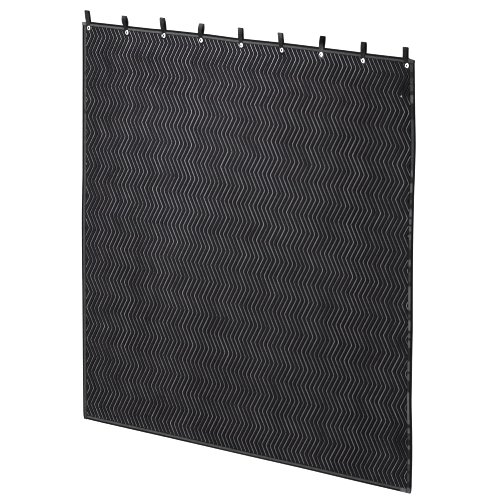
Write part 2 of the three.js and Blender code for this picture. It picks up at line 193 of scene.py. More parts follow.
def stray(column, x, depth):
    depths = [line["depth"] for line in STRAYS]
    rows = np.stack([np.interp(x, STRAY_AT, line[column]) for line in STRAYS]) * MILLIMETRE
    at = np.interp(depth, depths, range(len(depths)))
    above = np.minimum(at.astype(int), len(depths) - 2)
    share = at - above
    upper = np.take_along_axis(rows, above[None], 0)[0]
    lower = np.take_along_axis(rows, above[None] + 1, 0)[0]
    return upper + share * (lower - upper)


def turn_height(turn, x):
    depth = FIRST_TURN + turn * TURN_STEP
    return stray("up", x, depth) - depth


def quilted_place(line, turn):
    """x and z of a place on the quilting, given by its line and its row of turns, both with fractions"""
    x = line * LINE_PITCH
    row = np.floor(turn)
    share = turn - row
    above = turn_height(row, x)
    z = above + share * (turn_height(row + 1, x) - above)
    near = np.minimum(share, 1 - share)
    rounded = np.where(near < TIP_ROUND, TIP_ROUND + near * near / TIP_ROUND, 2 * near)
    toward = np.where(share < 0.5, 1 - rounded, rounded - 1)
    start = np.where(row % 2 == 0, ZIGZAG_HALF, -ZIGZAG_HALF)
    return x + start * toward + stray("right", x, -z), z


def quilted_line(x, z):
    """The line of the quilting, with its fraction, at a place on the cloth, found in a few steps"""
    line = x / LINE_PITCH
    for _ in range(4):
        turn = (-z - FIRST_TURN) / TURN_STEP
        for _ in range(3):
            turn = turn + (quilted_place(line, turn)[1] - z) / TURN_STEP
        line = line + (x - quilted_place(line, turn)[0]) / LINE_PITCH
    return line


def edge_out(edge, at, column="out"):
    return np.interp(at, np.array(EDGES[edge]["at"]) * MILLIMETRE, EDGES[edge][column]) * MILLIMETRE


def edge_place(edge, at, inset):
    """x and z of a place along an edge, at a depth in from its outer side"""
    rounded = edge_out(edge, at, "round") * np.maximum(0, 1 - inset / EDGES[edge]["face"])
    out = edge_out(edge, at) - rounded - inset
    if edge == "top":
        return at, out
    if edge == "bottom":
        return at, -HEIGHT - out
    if edge == "left":
        return -HALF_WIDTH - out, at
    return HALF_WIDTH + out, at


def field_edge(edge, at):
    """x and z of a place where the open cloth meets a tape's inner edge"""
    return edge_place(edge, at, EDGES[edge]["face"] + GAP)


def field_depth(x, z):
    """How far a place lies inside the tapes' inner edges"""
    left = x - field_edge("left", z)[0]
    right = field_edge("right", z)[0] - x
    top = field_edge("top", x)[1] - z
    bottom = z - field_edge("bottom", x)[1]
    return np.minimum(np.minimum(left, right), np.minimum(top, bottom))


def crown_height(z):
    full_at = -FIRST_TURN - TURN_STEP
    return np.interp(z, [full_at, -HEADING_DROP], [FULL_CROWN, HEADING_CROWN])


def mesh_object(name, points, faces, material=None):
    mesh = bpy.data.meshes.new(name)
    mesh.from_pydata(np.asarray(points).tolist(), [], [list(face) for face in faces])
    mesh.update()
    if material:
        mesh.materials.append(material)
    return add(name, mesh)


def store(made, name, values, domain="POINT"):
    layer = made.data.attributes.new(name, "FLOAT", domain)
    layer.data.foreach_set("value", np.asarray(values, np.float32))


def settle(made):
    """Takes what the modifiers make as the object's own plain mesh"""
    evaluated = made.evaluated_get(bpy.context.evaluated_depsgraph_get())
    mesh = bpy.data.meshes.new_from_object(evaluated)
    made.modifiers.clear()
    made.data = mesh
    mesh.name = made.name
    return made


def node(tree, kind, inputs=None, **settings):
    """A node with its settings made and its inputs set or joined, each by name or number"""
    made = tree.nodes.new(kind)
    for name, value in settings.items():
        setattr(made, name, value)
    for key, value in (inputs or {}).items():
        if isinstance(value, bpy.types.NodeSocket):
            tree.links.new(value, made.inputs[key])
        else:
            made.inputs[key].default_value = value
    return made


def maths(tree, operation, *values, clamp=False):
    return node(
        tree, "ShaderNodeMath", dict(enumerate(values)), operation=operation, use_clamp=clamp
    ).outputs[0]


def product(tree, first, *others):
    for other in others:
        first = maths(tree, "MULTIPLY", first, other)
    return first


def object_place(tree):
    return tree.nodes.new("ShaderNodeTexCoord").outputs["Object"]


def noise(tree, place, scale, detail):
    return node(tree, "ShaderNodeTexNoise", {
        "Vector": place, "Scale": scale, "Detail": detail,
    }).outputs["Fac"]


def wave(tree, line):
    """A sine of a place that counts its half turns"""
    return maths(tree, "SINE", maths(tree, "MULTIPLY", line, math.pi))


def new_tree(name, kind, taken, given):
    """A node group with its inputs and outputs, each by its name and sort"""
    tree = bpy.data.node_groups.new(name, kind)
    for way, sockets in (("INPUT", taken), ("OUTPUT", given)):
        for label, sort in sockets.items():
            tree.interface.new_socket(label, in_out=way, socket_type="NodeSocket" + sort)
    return tree


def end_tree(tree, geometry, finish):
    """Ends a geometry tree in real, smooth faces with their material"""
    real = node(tree, "GeometryNodeRealizeInstances", {"Geometry": geometry}).outputs[0]
    soft = node(tree, "GeometryNodeSetShadeSmooth", {"Geometry": real}).outputs[0]
    done = node(tree, "GeometryNodeSetMaterial", {"Geometry": soft, "Material": finish}).outputs[0]
    tree.links.new(done, tree.nodes.new("NodeGroupOutput").inputs[0])
    return tree


def apply_tree(made, tree, values):
    """Runs a geometry tree on an object with its named inputs, and keeps the plain mesh"""
    modifier = made.modifiers.new(tree.name, "NODES")
    modifier.node_group = tree
    for socket in tree.interface.items_tree:
        if socket.in_out == "INPUT" and socket.name in values:
            modifier[socket.identifier] = values[socket.name]
    return settle(made)


def new_material(name):
    material = bpy.data.materials.new(name)
    material.use_nodes = True
    tree = material.node_tree
    return material, tree, tree.nodes["Principled BSDF"]


def relieve(tree, shader, height, strength, distance):
    """Fine relief on a finish"""
    bump = node(tree, "ShaderNodeBump", {"Strength": strength, "Distance": distance, "Height": height})
    tree.links.new(bump.outputs[0], shader.inputs["Normal"])


def dry(shader, roughness, gloss):
    shader.inputs["Roughness"].default_value = roughness
    shader.inputs["Specular IOR Level"].default_value = gloss


def weave_group():
    """Crossing yarns, one over and one under: their height, and the hollows between them"""
    tree = new_tree("weave", "ShaderNodeTree", {
        "Place": "Vector", "Warp per metre": "Float", "Weft per metre": "Float", "Uneven": "Float",
    }, {"Height": "Float", "Hollow": "Float"})
    entry = tree.nodes.new("NodeGroupInput").outputs
    wander = noise(tree, entry["Place"], scale=60, detail=2)
    shift = product(tree, maths(tree, "SUBTRACT", wander, 0.5), entry["Uneven"])
    parts = node(tree, "ShaderNodeSeparateXYZ", {0: entry["Place"]}).outputs
    warp = maths(tree, "ADD", product(tree, parts["X"], entry["Warp per metre"]), shift)
    weft = maths(tree, "ADD", product(tree, parts["Y"], entry["Weft per metre"]), shift)
    over = product(tree, wave(tree, warp), wave(tree, weft))
    height = maths(tree, "ADD", maths(tree, "MULTIPLY", over, 0.5), 0.5)
    hollow = maths(tree, "SUBTRACT", 1, maths(tree, "ABSOLUTE", over))
    leave = tree.nodes.new("NodeGroupOutput").inputs
    tree.links.new(height, leave["Height"])
    tree.links.new(hollow, leave["Hollow"])
    return tree


WEAVE = weave_group()


def woven(tree, place, warp, weft, uneven):
    """The weave on a place in metres, by its yarns to the metre"""
    return node(tree, "ShaderNodeGroup", {
        "Place": place, "Warp per metre": warp, "Weft per metre": weft, "Uneven": uneven,
    }, node_tree=WEAVE).outputs


def mixed(tree, share, low, high):
    """A colour between two others, each given by its values or by a socket"""
    low, high = (end if isinstance(end, bpy.types.NodeSocket) else (*end, 1) for end in (low, high))
    return node(tree, "ShaderNodeMix", {0: share, 6: low, 7: high}, data_type="RGBA").outputs[2]


def paint(tree, shader, share, low, high):
    tree.links.new(mixed(tree, share, low, high), shader.inputs["Base Color"])


def attribute(tree, name):
    return node(tree, "ShaderNodeAttribute", attribute_name=name).outputs["Fac"]


def ranged(tree, value, low, high, to_low, to_high):
    return node(tree, "ShaderNodeMapRange", {
        "Value": value, "From Min": low, "From Max": high, "To Min": to_low, "To Max": to_high,
    }).outputs[0]


def cloth_material():
    material, tree, shader = new_material("black quilted cloth")
    place = object_place(tree)
    flat = node(tree, "ShaderNodeSeparateXYZ", {0: place}).outputs
    face = node(tree, "ShaderNodeCombineXYZ", {"X": flat["X"], "Y": flat["Z"]}).outputs[0]
    weave = woven(tree, face, warp=900, weft=760, uneven=0.5)
    fading = noise(tree, place, scale=3.1, detail=3)
    mottle = noise(tree, place, scale=70, detail=4)
    lint = noise(tree, place, scale=420, detail=2)
    # Painted shade and light: the cloth is painted darker on the flanks beside each line of thread and paler
    # on the crowns between the lines
    crown = maths(tree, "ABSOLUTE", wave(tree, attribute(tree, "line")))
    tone = product(
        tree,
        ranged(tree, crown, 0.6, 1.0, 0.05, 0.87),
        # Painted light: a sheen painted in, about a third paler at the cloth's left edge and fading out
        # before the middle
        ranged(tree, flat["X"], -1.2, -0.2, 1.32, 1.0),
        ranged(tree, mottle, 0.3, 0.7, 0.75, 1.25),
        ranged(tree, fading, 0.35, 0.65, 0.85, 1.15),
        ranged(tree, weave["Hollow"], 0, 1, 1.15, 0.75),
    )
    tone = maths(tree, "ADD", tone, ranged(tree, lint, 0.66, 0.8, 0, 1.5))
    paint(tree, shader, maths(tree, "MULTIPLY", tone, 0.5, clamp=True), CLOTH_DARK, CLOTH_PALE)
    relief = maths(tree, "ADD", weave["Height"], product(tree, mottle, 1.5))
    relieve(tree, shader, relief, strength=0.6, distance=0.0004)
    tree.links.new(ranged(tree, mottle, 0.3, 0.7, 0.85, 1), shader.inputs["Roughness"])
    shader.inputs["Specular IOR Level"].default_value = 0.03
    shader.inputs["Sheen Weight"].default_value = 0.006
    shader.inputs["Sheen Roughness"].default_value = 0.5
    return material


CLOTH = cloth_material()


def quilting_tree():
    """Raises the batting between the lines of thread, unevenly, on both faces of the cloth"""
    tree = new_tree("quilting", "GeometryNodeTree", {
        "Cloth": "Geometry", "Lift at the lines": "Float", "Fullness": "Float", "Uneven": "Float",
        "Uneven scale": "Float", "Finish": "Material",
    }, {"Cloth": "Geometry"})
    entry = tree.nodes.new("NodeGroupInput").outputs
    line, loft, crown, side = (
        node(tree, "GeometryNodeInputNamedAttribute", {"Name": name}, data_type="FLOAT").outputs[0]
        for name in ("line", "loft", "crown", "side")
    )
    arch = maths(tree, "POWER", maths(tree, "ABSOLUTE", wave(tree, line)), entry["Fullness"])
    place = tree.nodes.new("GeometryNodeInputPosition").outputs[0]
    swelling = maths(tree, "SUBTRACT", noise(tree, place, entry["Uneven scale"], detail=1), 0.5)
    uneven = maths(tree, "ADD", product(tree, swelling, entry["Uneven"]), 1)
    puff = product(tree, arch, crown, uneven)
    raised = product(tree, maths(tree, "ADD", puff, entry["Lift at the lines"]), loft)
    offset = node(tree, "ShaderNodeCombineXYZ", {"Y": product(tree, raised, side)}).outputs[0]
    moved = node(tree, "GeometryNodeSetPosition", {"Geometry": entry["Cloth"], "Offset": offset}).outputs[0]
    return end_tree(tree, moved, entry["Finish"])


def cloth_slab():
    """Both faces of the cloth on a grid that follows the quilting past its edges, closed round its rim"""
    reach = math.ceil((HALF_WIDTH + ZIGZAG_HALF) / LINE_PITCH) + 1
    lines = [line + share for line in range(-reach, reach) for share in ACROSS_PITCH] + [reach]
    turns = [turn + share for turn in range(-1, TURN_ROWS) for share in DOWN_STEP]
    line, turn = np.meshgrid(lines, turns)
    x, z = quilted_place(line.ravel(), turn.ravel())
    y = hang(x, z)
    count = len(x)
    front = np.stack([x, y - PRESSED_HALF, z], 1)
    back = np.stack([x, y + PRESSED_HALF, z], 1)
    ids = np.arange(count).reshape(line.shape)
    a, b = ids[:-1, :-1].ravel(), ids[1:, :-1].ravel()
    c, d = ids[1:, 1:].ravel(), ids[:-1, 1:].ravel()
    faces = [np.stack([a, b, c, d], 1), np.stack([d, c, b, a], 1) + count]
    rim = np.concatenate([ids[:, 0], ids[-1, 1:], ids[-2::-1, -1], ids[0, -2:0:-1]])
    onward = np.roll(rim, -1)
    faces.append(np.stack([onward, rim, rim + count, onward + count], 1))
    return mesh_object("quilted_cloth", np.concatenate([front, back]), np.concatenate(faces))


def prism(name, outline):
    """A cutting solid: an outline in x and z that runs through the cloth from front to back"""
    size = len(outline)
    points = [(x, y, z) for y in (-CUT_REACH, CUT_REACH) for x, z in outline]
    faces = [list(range(size)), list(range(2 * size - 1, size - 1, -1))]
    faces += [[i, i + size, (i + 1) % size + size, (i + 1) % size] for i in range(size)]
    return mesh_object(name, points, faces)


def cut(made, cutter, operation):
    modifier = made.modifiers.new(operation, "BOOLEAN")
    modifier.operation = operation
    modifier.solver = "MANIFOLD"
    modifier.object = cutter
    settle(made)
    bpy.data.objects.remove(cutter)
    return made


def corner(across, down):
    """Where the cloth's outline turns from one edge to another, such as top to left, found in a few steps"""
    x = HALF_WIDTH if down == "right" else -HALF_WIDTH
    for _ in range(3):
        z = edge_place(across, x, CLOTH_INSET)[1]
        x = edge_place(down, z, CLOTH_INSET)[0]
    return float(x), float(z)


def cloth_outline():
    """The cloth's edge inside the tapes, counter-clockwise seen from the front"""
    lower_left, lower_right, upper_right, upper_left = (
        corner(across, down)
        for across, down in (("bottom", "left"), ("bottom", "right"), ("top", "right"), ("top", "left"))
    )
    places = []
    for edge, start, end, axis in (
        ("bottom", lower_left, lower_right, 0),
        ("right", lower_right, upper_right, 1),
        ("top", upper_right, upper_left, 0),
        ("left", upper_left, lower_left, 1),
    ):
        low, high = sorted((start[axis], end[axis]))
        at = np.array([at * MILLIMETRE for at in EDGES[edge]["at"] if low < at * MILLIMETRE < high])
        between = list(zip(*edge_place(edge, at, CLOTH_INSET)))
        places += [start] + (between if start[axis] < end[axis] else between[::-1])
    return places


def hole_cutter(index):
    turns = [2 * math.pi * i / HOLE_STEPS for i in range(HOLE_STEPS)]
    return prism("hole", [
        (EYELET_X[index] + HOLE_RADIUS * math.cos(turn), HOLE_RADIUS * math.sin(turn) - EYELET_DROP[index])
        for turn in turns
    ])


def quilted_cloth():
    cloth = cut(cloth_slab(), prism("outline", cloth_outline()), "INTERSECT")
    for index in range(len(EYELET_X)):
        cut(cloth, hole_cutter(index), "DIFFERENCE")
    x, y, z = np.array([point.co for point in cloth.data.vertices]).T
    store(cloth, "line", quilted_line(x, z))
    store(cloth, "loft", smooth(field_depth(x, z) / CROWN_ROUND))
    store(cloth, "crown", crown_height(z))
    store(cloth, "side", np.sign(y - hang(x, z)))
    apply_tree(cloth, quilting_tree(), {
        "Lift at the lines": STITCHED_HALF - PRESSED_HALF,
        "Fullness": FULLNESS,
        "Uneven": PUFF_UNEVEN,
        "Uneven scale": PUFF_SCALE,
        "Finish": CLOTH,
    })
    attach(cloth, "root")
    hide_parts("quilted_panel", "heading_strip")
    return cloth


cloth = quilted_cloth()

# The quilting thread
# One white thread for each line, from tape to tape, in stitches about 7 mm long on both faces.
# The needle pulls it down until it lies in the valley between two crowns.
LEG_STITCHES = 14  # stitches from one turn of a line to the next
STITCH_SHARE = 1.06  # how much of a stitch shows as thread, before it dips into the cloth
STITCH_WIDE = 0.0030
STITCH_HIGH = 0.0014
THREAD_RISE = 0.0005  # from the stitched surface to the thread's middle
SEAM_CLEAR = 0.0008  # a line of thread stops this far short of the tape
EYELET_CLEAR = 0.0085  # and this far from an eyelet's middle
SHORTEST_STITCH = 0.0015
FRONT_SHAPE = {"sides": 3, "rings": 3, "blunt": 0.38}  # of a single stitch
BACK_SHAPE = {"sides": 4, "rings": 2, "blunt": 0.0}
KNOT_SHAPE = {"sides": 6, "rings": 4, "blunt": 0.0}
STITCH_SWELL = (0.40, 0.56)  # half a stitch's width at the darkest and the palest tone, as a share
USUAL_TONE = 0.69  # from 0, the darkest thread, to 1, the palest
LINE_UNEVEN = 0.08  # how much the tone strays from line to line
STRETCH_UNEVEN = 0.14  # and along a line, from half leg to half leg
STITCH_UNEVEN = 0.06
STRETCH_KEPT = 0.2  # how much of a half leg's tone carries on into the next
SEAM_SEED = 3
THREAD_DARK = (0.04, 0.04, 0.05)
THREAD_PALE = (0.98, 0.99, 1.0)

# Spots where painted shade dulls the thread, where it lies sunk in the batting
THREAD_SHADE_SPOTS = [
    {"x": 1.150, "z": -0.140, "reach_x": 0.090, "reach_z": 0.110, "painted_shade": 1.00},
    {"x": -1.160, "z": -0.450, "reach_x": 0.400, "reach_z": 0.900, "painted_shade": 0.14},
    {"x": 1.140, "z": -1.330, "reach_x": 0.070, "reach_z": 0.070, "painted_shade": 0.75},
    {"x": 1.130, "z": -1.790, "reach_x": 0.080, "reach_z": 0.130, "painted_shade": 0.75},
    {"x": 1.200, "z": -1.700, "reach_x": 0.070, "reach_z": 0.450, "painted_shade": 0.50},
]
# The knot where a line was sewn off, beside the spot of painted shade at the top right
KNOT = (1.127, -0.181)
KNOT_HALF = 0.0050
KNOT_WIDE = 0.0045


def stitch_tree():
    """A spindle of thread along each edge of a seam, paler and wider where the edge's tone is higher"""
    tree = new_tree("stitches", "GeometryNodeTree", {
        "Seam": "Geometry", "Share": "Float", "Width": "Float", "Height": "Float", "Facing": "Vector",
        "Sides": "Int", "Rings": "Int", "Blunt": "Float", "Finish": "Material",
    }, {"Stitches": "Geometry"})
    entry = tree.nodes.new("NodeGroupInput").outputs
    ends = tree.nodes.new("GeometryNodeInputMeshEdgeVertices").outputs
    along = node(tree, "ShaderNodeVectorMath", {
        0: ends["Position 2"], 1: ends["Position 1"],
    }, operation="SUBTRACT").outputs[0]
    kept = tree.nodes.new("GeometryNodeCaptureAttribute")
    kept.domain = "EDGE"
    kept.capture_items.new("VECTOR", "Along")
    tree.links.new(entry["Seam"], kept.inputs["Geometry"])
    tree.links.new(along, kept.inputs["Along"])
    middles = node(tree, "GeometryNodeMeshToPoints", {
        "Mesh": kept.outputs["Geometry"],
    }, mode="EDGES").outputs[0]
    direction = kept.outputs["Along"]
    upright = node(tree, "FunctionNodeAlignRotationToVector", {"Vector": direction}, axis="Z").outputs[0]
    turned = node(tree, "FunctionNodeAlignRotationToVector", {
        "Rotation": upright, "Vector": entry["Facing"],
    }, axis="X", pivot_axis="Z").outputs[0]
    length = node(tree, "ShaderNodeVectorMath", {0: direction}, operation="LENGTH").outputs["Value"]
    tone = node(tree, "GeometryNodeInputNamedAttribute", {"Name": "tone"}, data_type="FLOAT").outputs[0]
    size = node(tree, "ShaderNodeCombineXYZ", {
        "X": product(tree, entry["Height"], 0.5),
        "Y": product(tree, entry["Width"], ranged(tree, tone, 0, 1, *STITCH_SWELL)),
        "Z": product(tree, length, entry["Share"], 0.5),
    }).outputs[0]
    ball = node(tree, "GeometryNodeMeshUVSphere", {
        "Segments": entry["Sides"], "Rings": entry["Rings"], "Radius": 1.0,
    }).outputs[0]
    place = tree.nodes.new("GeometryNodeInputPosition").outputs[0]
    height = node(tree, "ShaderNodeSeparateXYZ", {0: place}).outputs["Z"]
    inner = maths(tree, "LESS_THAN", maths(tree, "ABSOLUTE", height), 0.9)
    stretched = product(tree, maths(tree, "SIGN", height), entry["Blunt"], inner)
    spread = node(tree, "ShaderNodeCombineXYZ", {"Z": stretched}).outputs[0]
    spindle = node(tree, "GeometryNodeSetPosition", {"Geometry": ball, "Offset": spread}).outputs[0]
    placed = node(tree, "GeometryNodeInstanceOnPoints", {
        "Points": middles, "Instance": spindle, "Rotation": turned, "Scale": size,
    }).outputs[0]
    return end_tree(tree, placed, entry["Finish"])


STITCHES = stitch_tree()


def thread_material(name, dark, pale):
    material, tree, shader = new_material(name)
    place = object_place(tree)
    lint = ranged(tree, noise(tree, place, scale=160, detail=2), 0.3, 0.7, 0.9, 1.1)
    paint(tree, shader, product(tree, attribute(tree, "tone"), lint), dark, pale)
    twist = node(tree, "ShaderNodeTexWave", {
        "Vector": place, "Scale": 450, "Distortion": 1.5,
    }, bands_direction="DIAGONAL").outputs["Fac"]
    relieve(tree, shader, twist, strength=0.4, distance=0.0002)
    dry(shader, roughness=0.6, gloss=0.2)
    return material


QUILT_THREAD = thread_material("white quilting thread", THREAD_DARK, THREAD_PALE)


def sew(name, points, edges, tones, side, shape, finish, share, width, height):
    """A seam whose edges are its stitches, on the front where side is -1 and on the back where it is 1"""
    mesh = bpy.data.meshes.new(name)
    mesh.from_pydata(np.asarray(points).tolist(), np.asarray(edges).tolist(), [])
    seam = add(name, mesh)
    store(seam, "tone", np.clip(tones, 0, 1), "EDGE")
    apply_tree(seam, STITCHES, {
        "Share": share, "Width": width, "Height": height, "Facing": (0, side, 0), "Finish": finish,
        "Sides": shape["sides"], "Rings": shape["rings"], "Blunt": shape["blunt"],
    })
    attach(seam, "root")
    return seam


def seam_room(x, z):
    """How far a place on a seam is from the tapes and the eyelets, less what it must keep"""
    room = field_depth(x, z) - SEAM_CLEAR
    for eyelet_x, drop in zip(EYELET_X, EYELET_DROP):
        room = np.minimum(room, np.hypot(x - eyelet_x, z + drop) - EYELET_CLEAR)
    return room


def stitches_between(points, room):
    """The two ends of each stitch, cut short where the room runs out"""
    starts, ends, kept = [], [], []
    for i in range(len(points) - 1):
        here, there = room[i], room[i + 1]
        if max(here, there) <= 0:
            continue
        first = 0 if here > 0 else here / (here - there)
        last = 1 if there > 0 else here / (here - there)
        way = points[i + 1] - points[i]
        if np.linalg.norm(way) * (last - first) > SHORTEST_STITCH:
            starts.append(points[i] + first * way)
            ends.append(points[i] + last * way)
            kept.append(i)
    return starts, ends, kept


def line_tones(turns, x, z, chance):
    """How pale the thread shows along a line of the quilting, with painted shade at some spots"""
    strays = [chance.normal()]
    for _ in range(2 * TURN_ROWS + 4):
        strays.append(STRETCH_KEPT * strays[-1] + math.sqrt(1 - STRETCH_KEPT ** 2) * chance.normal())
    stretch = np.interp(turns, np.arange(len(strays)) / 2 - 1, strays)
    tone = USUAL_TONE + LINE_UNEVEN * chance.normal() + STRETCH_UNEVEN * stretch
    tone = tone + STITCH_UNEVEN * chance.normal(size=len(turns))
    # Painted shade: the thread's tone drops round each spot
    for spot in THREAD_SHADE_SPOTS:
        near = swell(x - spot["x"], spot["reach_x"]) * swell(z - spot["z"], spot["reach_z"])
        tone = tone * (1 - spot["painted_shade"] * near)
    return tone


def quilting_seams(first, last, side, chance):
    """The lines of thread from one line of the quilting to another, just above the cloth's face"""
    turns = np.arange(-LEG_STITCHES, TURN_ROWS * LEG_STITCHES + 1) / LEG_STITCHES
    points, tones = [], []
    for line in range(first, last):
        x, z = quilted_place(np.full(len(turns), float(line)), turns)
        loft = smooth(field_depth(x, z) / CROWN_ROUND)
        rise = PRESSED_HALF + (STITCHED_HALF - PRESSED_HALF) * loft + THREAD_RISE
        places = np.stack([x, hang(x, z) + side * rise, z], 1)
        starts, ends, kept = stitches_between(places, seam_room(x, z))
        if kept:
            points.append(np.stack([starts, ends], 1).reshape(-1, 3))
            tones.append(line_tones(turns, x, z, chance)[kept])
    points = np.concatenate(points)
    return points, np.arange(len(points)).reshape(-1, 2), np.concatenate(tones)


def thread_knot():
    """A short cross of thread"""
    x, z = KNOT
    y = hang(x, z) - STITCHED_HALF - crown_height(z)
    points = [(x - KNOT_HALF, y, z), (x + KNOT_HALF, y, z), (x, y, z - KNOT_HALF), (x, y, z + KNOT_HALF)]
    return sew(
        "quilting_thread_knot", points, [(0, 1), (2, 3)], np.ones(2), -1, KNOT_SHAPE,
        QUILT_THREAD, 1, KNOT_WIDE, STITCH_HIGH,
    )


LAST_LINE = math.ceil((HALF_WIDTH + ZIGZAG_HALF) / LINE_PITCH)
FACES = (("front", -1, FRONT_SHAPE), ("back", 1, BACK_SHAPE))
chance = np.random.default_rng(SEAM_SEED)
threads = [thread_knot()]
for face, side, shape in FACES:
    for half, first, last in (("left", -LAST_LINE, 0), ("right", 0, LAST_LINE + 1)):
        threads.append(sew(
            f"quilting_thread_{face}_{half}", *quilting_seams(first, last, side, chance),
            side, shape, QUILT_THREAD, STITCH_SHARE, STITCH_WIDE, STITCH_HIGH,
        ))

# The edge tape
# Black woven binding tape, folded over the cloth's edge in four lengths and sewn through.
# The top length runs over the side ones, and the bottom one lies between them.
TAPE_THICK = 0.0011
TAPE_BIGHT = 0.0016  # its thickness round the fold
TAPE_INNER = PRESSED_HALF + GAP
TAPE_HALF = TAPE_INNER + TAPE_THICK
TAPE_STEP = {"top": 0.012, "bottom": 0.012, "left": 0.012, "right": 0.004}  # along its mesh
TAPE_ROUND = 0.0026  # of its fold, at either side
BIGHT_STEPS = 5
# Its woven edge on the cloth, as distances back from that edge and off its outer or inner side
OUTER_EDGE = [(0.0004, 0.0003), (0.0012, 0)]
INNER_EDGE = [(0, 0.0002), (0.0003, 0)]
OUTER_SHARES = [0.6, 0.25]  # further points of its outer side, as shares of its face
# Faint ripples of its inner side: how deep, how many radians to the metre, and where they start
RIPPLES = [(0.0003, 61, 0), (0.0002, 147, 1)]

TAPE_DARK = ((0.0003, 0.0003, 0.0003), (0.012, 0.012, 0.013))  # in the weave's hollows and on its yarns
TAPE_PALE = ((0.02, 0.02, 0.02), (0.22, 0.22, 0.23))  # the same on the stripe

# A stripe along the middle of each tape's face catches the light: its middle's depth in from the
# edge and its half width, in millimetres, by place along the edge
STRIPES = {
    "top": {"at": [-1190, -1180, 1165, 1175], "middle": [11, 15, 15, 11], "half": [14, 6, 6, 14]},
    "bottom": {"at": [-600, 0, 1145, 1155], "middle": [15, 13.5, 15, 11], "half": [6, 6, 6, 13]},
    "left": {"at": [-1900, -1300, -900, -500], "middle": [20, 21, 22.5, 24], "half": [10, 9, 8.5, 9.5]},
    "right": {
        "at": [-2010, -2000, -1500, -900, -500, -100],
        "middle": [14, 17, 17.5, 15.5, 13.5, 15], "half": [14, 8, 8, 8, 8, 11],
    },
}
# How brightly it shines at the tape's two ends, and the stretches, by their ends in millimetres,
# where the tape turns to the light or lies creased
GLEAM_LEVELS = {"creased": 0.15, "faint": 0.38, "clear": 0.76, "strong": 0.93}
GLEAMS = {
    "top": {"level": (0.52, 0.36), "faint": [(1170, 1230)], "clear": [(-1230, -1185)]},
    "bottom": {"level": (0.52, 0.42), "clear": [(1150, 1200)], "strong": [(-1192, -1182)]},
    "left": {"level": (0.40, 0.55), "creased": [(-466, -450), (-268, -256)]},
    "right": {
        "level": (0.10, 0.10),
        "faint": [
            (-61, -10), (-116, -90), (-151, -121), (-373, -279), (-515, -373), (-671, -652), (-884, -841),
            (-1035, -988), (-1203, -1186), (-1777, -1758), (-1923, -1900), (-1975, -1938),
        ],
        "clear": [
            (-206, -168), (-547, -515), (-619, -577), (-766, -742), (-799, -777), (-841, -813), (-962, -931),
            (-1297, -1276), (-1344, -1309), (-1456, -1408), (-1498, -1465), (-1749, -1723), (-1824, -1805),
            (-1895, -1870), (-2032, -2005),
        ],
        "strong": [(-730, -695), (-1167, -1056), (-1262, -1215), (-1705, -1555)],
    },
}
GLEAM_SOFT = 0.006

TAPE_ENDS = {
    "top": (edge_place("left", 0, 0)[0], edge_place("right", 0, 0)[0]),
    "bottom": (field_edge("left", -HEIGHT)[0], field_edge("right", -HEIGHT)[0]),
    "left": (-HEIGHT, field_edge("top", -HALF_WIDTH)[1]),
    "right": (-HEIGHT, field_edge("top", HALF_WIDTH)[1]),
}


def stripe_place(edge, at):
    """The stripe's middle and half width at a place along an edge"""
    stripe = STRIPES[edge]
    places = np.array(stripe["at"]) * MILLIMETRE
    return (np.interp(at, places, stripe[column]) * MILLIMETRE for column in ("middle", "half"))


def gleam(edge, at):
    level = np.interp(at, TAPE_ENDS[edge], GLEAMS[edge]["level"])
    for name, strength in GLEAM_LEVELS.items():
        for start, end in GLEAMS[edge].get(name, []):
            inside = smooth((at - start * MILLIMETRE) / GLEAM_SOFT + 0.5)
            inside = inside * smooth((end * MILLIMETRE - at) / GLEAM_SOFT + 0.5)
            level = level + inside * (strength - level)
    return level


def tape_material():
    material, tree, shader = new_material("black binding tape")
    place = node(tree, "ShaderNodeUVMap", uv_map="tape").outputs[0]
    weave = woven(tree, place, warp=520, weft=1100, uneven=0.3)
    wear = ranged(tree, noise(tree, object_place(tree), scale=26, detail=4), 0.3, 0.7, 0.6, 1.4)
    tone = product(tree, wear, ranged(tree, weave["Hollow"], 0, 1, 1.2, 0.6))
    share = maths(tree, "MULTIPLY", tone, 0.5, clamp=True)
    stripe = ranged(tree, maths(tree, "ABSOLUTE", attribute(tree, "stripe")), 0.75, 1.15, 1, 0)
    lit = product(tree, stripe, attribute(tree, "gleam"))
    paint(tree, shader, lit, mixed(tree, share, *TAPE_DARK), mixed(tree, share, *TAPE_PALE))
    relieve(tree, shader, weave["Height"], strength=0.6, distance=0.0003)
    dry(shader, roughness=0.8, gloss=0.06)
    return material


BINDING = tape_material()


def tape_section(face):
    """Depth in from the edge and y, from the front face's inner side round the fold to the back's"""
    half = []
    for step in range(BIGHT_STEPS + 1):
        turn = math.pi / 2 * step / BIGHT_STEPS
        half.append((TAPE_ROUND * (1 - math.sin(turn)), TAPE_HALF - TAPE_ROUND * (1 - math.cos(turn))))
    outer = [(face - inset, TAPE_HALF - off) for inset, off in OUTER_EDGE]
    outer += [(face * share, TAPE_HALF) for share in OUTER_SHARES] + half
    inner = [(face - inset, TAPE_INNER + off) for inset, off in INNER_EDGE] + [(TAPE_BIGHT, TAPE_INNER)]
    front = [(inset, -y) for inset, y in outer]
    return front + outer[::-1] + inner + [(inset, -y) for inset, y in inner[::-1]]


def wall(rings, size, closed):
    """The faces between rings of points, where each ring has as many"""
    faces = []
    for i in range(rings if closed else rings - 1):
        onward = (i + 1) % rings
        for j in range(size):
            k = (j + 1) % size
            faces.append((i * size + j, i * size + k, onward * size + k, onward * size + j))
    return faces


def run_along(a, b):
    """The length of a line up to each of its points"""
    return np.concatenate([[0], np.cumsum(np.hypot(np.diff(a), np.diff(b)))])


